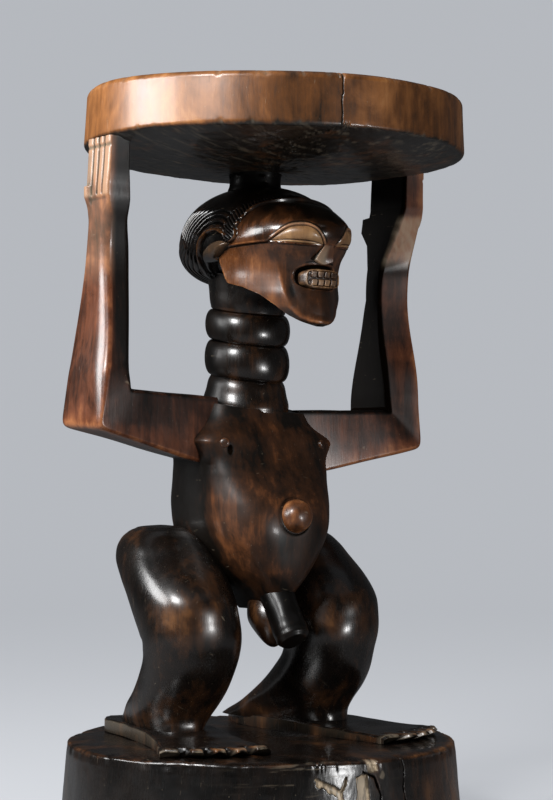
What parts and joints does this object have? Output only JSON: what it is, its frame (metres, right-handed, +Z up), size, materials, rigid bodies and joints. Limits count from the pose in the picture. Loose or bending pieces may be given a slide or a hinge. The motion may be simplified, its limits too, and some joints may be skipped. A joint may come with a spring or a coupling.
{
  "type": "caryatid stool",
  "caption": "Carved wooden stool: a crouching figure on a round base carries a round seat on its head and raised hands.",
  "frame": {"origin": "middle of the base's underside, on the floor", "axes": "+Z up, the figure faces -Y, its left side is +X"},
  "size_m": [0.297, 0.294, 0.5374],
  "materials": {
    "seat_wood": "polished, worn to orange-brown",
    "dark_wood": "polished near-black patina",
    "red_wood": "polished red-brown patina",
    "pale_wood": "satin, bare ochre wood"
  },
  "bodies": {
    "root": {"seat": "seat_wood", "base": "dark_wood", "foot_left": "dark_wood", "foot_right": "dark_wood", "shin_left": "dark_wood", "shin_right": "dark_wood", "thigh_left": "dark_wood", "thigh_right": "dark_wood", "groin_front": "dark_wood", "groin_rear": "dark_wood", "neck_collar_base": "dark_wood", "neck_ring_lower": "dark_wood", "neck_ring_upper": "dark_wood", "neck_collar_top": "dark_wood", "coiffure": "dark_wood", "ear_left": "dark_wood", "ear_right": "dark_wood", "head_post": "dark_wood", "upper_arm_left": "dark_wood", "upper_arm_right": "dark_wood", "torso": "red_wood", "navel": "red_wood", "nipple_left": "red_wood", "nipple_right": "red_wood", "forearm_left": "red_wood", "forearm_right": "red_wood", "hand_left": "red_wood", "hand_right": "red_wood", "face": "red_wood", "nose": "red_wood", "eye_left": "pale_wood", "eye_right": "pale_wood", "teeth": "pale_wood"}
  },
  "joints": []
}
